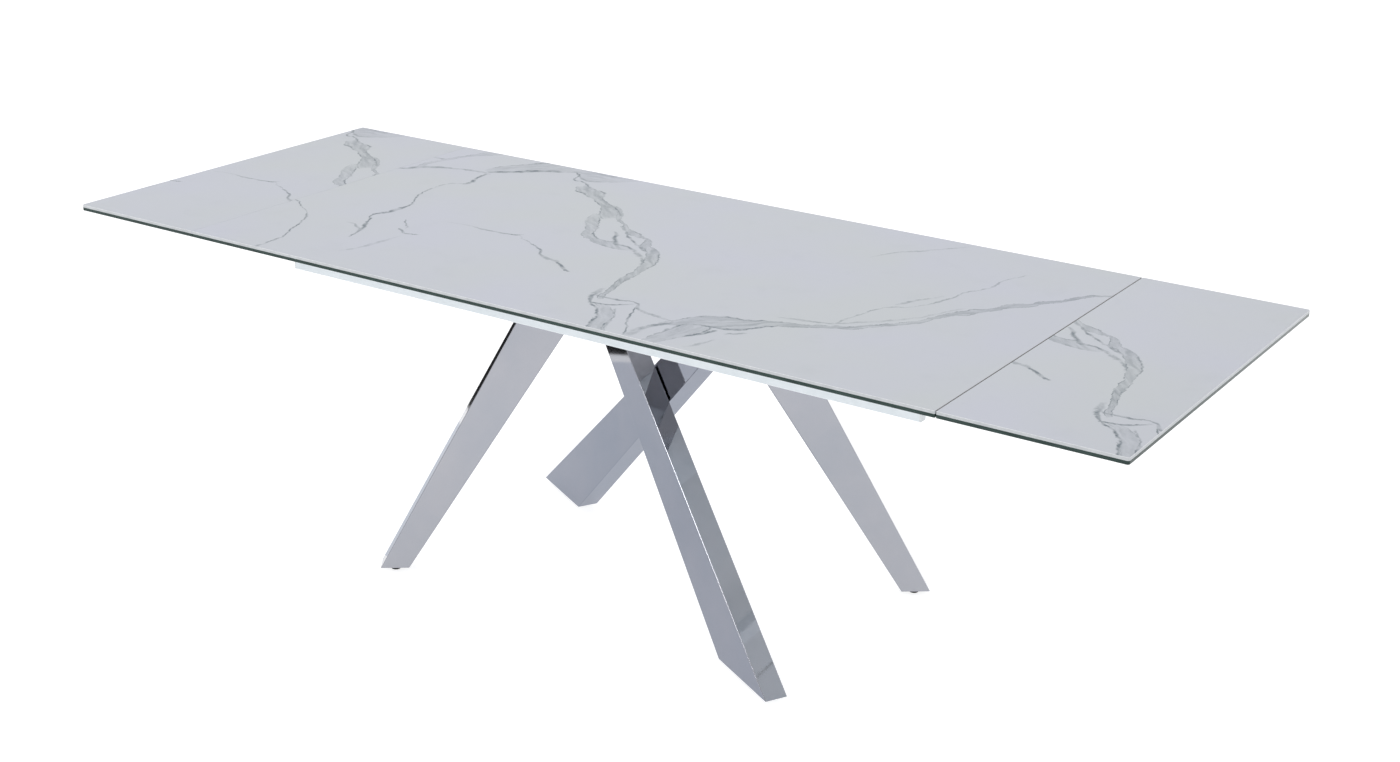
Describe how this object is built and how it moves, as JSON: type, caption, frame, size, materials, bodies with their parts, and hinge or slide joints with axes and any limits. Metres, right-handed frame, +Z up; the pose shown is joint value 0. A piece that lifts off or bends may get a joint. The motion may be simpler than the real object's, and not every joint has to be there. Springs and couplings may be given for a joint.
{
  "type": "extendable dining table",
  "caption": "Rectangular dining table with a marbled ceramic and glass top, pull-out end leaves on runners, a white tube under-frame and crossing flat chrome legs.",
  "frame": {"origin": "on the floor under the centre of the table", "axes": "+X along the table's length, +Y towards the back, +Z up"},
  "size_m": [2.504, 0.924, 0.765],
  "materials": {
    "ceramic": "satin",
    "edge_glass": "polished",
    "white_paint": "satin",
    "leg_chrome": "polished",
    "white_plastic": "matte",
    "black_plastic": "matte",
    "grey_paint": "satin",
    "steel": "brushed",
    "zinc": "satin"
  },
  "bodies": {
    "table": {"centre_plate": "grey_paint", "end_cross_rail_left": "white_paint", "end_cross_rail_right": "white_paint", "foot_plate_back_left": "steel", "foot_plate_back_right": "steel", "foot_plate_front_left": "steel", "foot_plate_front_right": "steel", "frame_plate_bolts": "zinc", "guide_bush_left_back": "black_plastic", "guide_bush_left_front": "black_plastic", "guide_bush_right_back": "black_plastic", "guide_bush_right_front": "black_plastic", "guide_tube_left_back": "white_paint", "guide_tube_left_front": "white_paint", "guide_tube_right_back": "white_paint", "guide_tube_right_front": "white_paint", "leg_back_left": "leg_chrome", "leg_back_right": "leg_chrome", "leg_cross_rail_1": "white_paint", "leg_cross_rail_2": "white_paint", "leg_cross_rail_3": "white_paint", "leg_cross_rail_4": "white_paint", "leg_front_left": "leg_chrome", "leg_front_right": "leg_chrome", "leg_mount_plate_left": "white_paint", "leg_mount_plate_right": "white_paint", "main_bonded_discs": "steel", "main_ceramic": "ceramic", "main_glass": "edge_glass", "main_support_bolts": "zinc", "mount_plate_weld_nuts": "zinc", "rail_end_caps": "white_plastic", "side_rail_back": "white_paint", "side_rail_front": "white_paint", "top_standoff_1": "white_paint", "top_standoff_2": "white_paint", "top_standoff_3": "white_paint", "top_standoff_4": "white_paint", "top_standoff_5": "white_paint", "top_standoff_6": "white_paint"},
    "right_leaf": {"right_leaf_bar": "white_paint", "right_leaf_ceramic": "ceramic", "right_leaf_discs": "steel", "right_leaf_glass": "edge_glass", "right_leaf_screws": "zinc", "right_runner_back": "steel", "right_runner_front": "steel", "right_runner_plugs": "black_plastic"},
    "left_leaf": {"left_leaf_bar": "white_paint", "left_leaf_ceramic": "ceramic", "left_leaf_discs": "steel", "left_leaf_glass": "edge_glass", "left_leaf_screws": "zinc", "left_runner_back": "steel", "left_runner_front": "steel", "left_runner_plugs": "black_plastic"},
    "glide_back_left": {"glide_back_left": "black_plastic"},
    "glide_back_right": {"glide_back_right": "black_plastic"},
    "glide_front_left": {"glide_front_left": "black_plastic"},
    "glide_front_right": {"glide_front_right": "black_plastic"}
  },
  "joints": [
    {"name": "right_leaf_slide", "type": "slide", "parent": "table", "child": "right_leaf", "axis": [1, 0, 0], "range_m": [0, 0.3]},
    {"name": "left_leaf_slide", "type": "slide", "parent": "table", "child": "left_leaf", "axis": [-1, 0, 0], "range_m": [0, 0.3]},
    {"name": "glide_back_left_adjust", "type": "slide", "parent": "table", "child": "glide_back_left", "axis": [0, 0, -1], "range_m": [0, 0.008]},
    {"name": "glide_back_right_adjust", "type": "slide", "parent": "table", "child": "glide_back_right", "axis": [0, 0, -1], "range_m": [0, 0.008]},
    {"name": "glide_front_left_adjust", "type": "slide", "parent": "table", "child": "glide_front_left", "axis": [0, 0, -1], "range_m": [0, 0.008]},
    {"name": "glide_front_right_adjust", "type": "slide", "parent": "table", "child": "glide_front_right", "axis": [0, 0, -1], "range_m": [0, 0.008]}
  ]
}
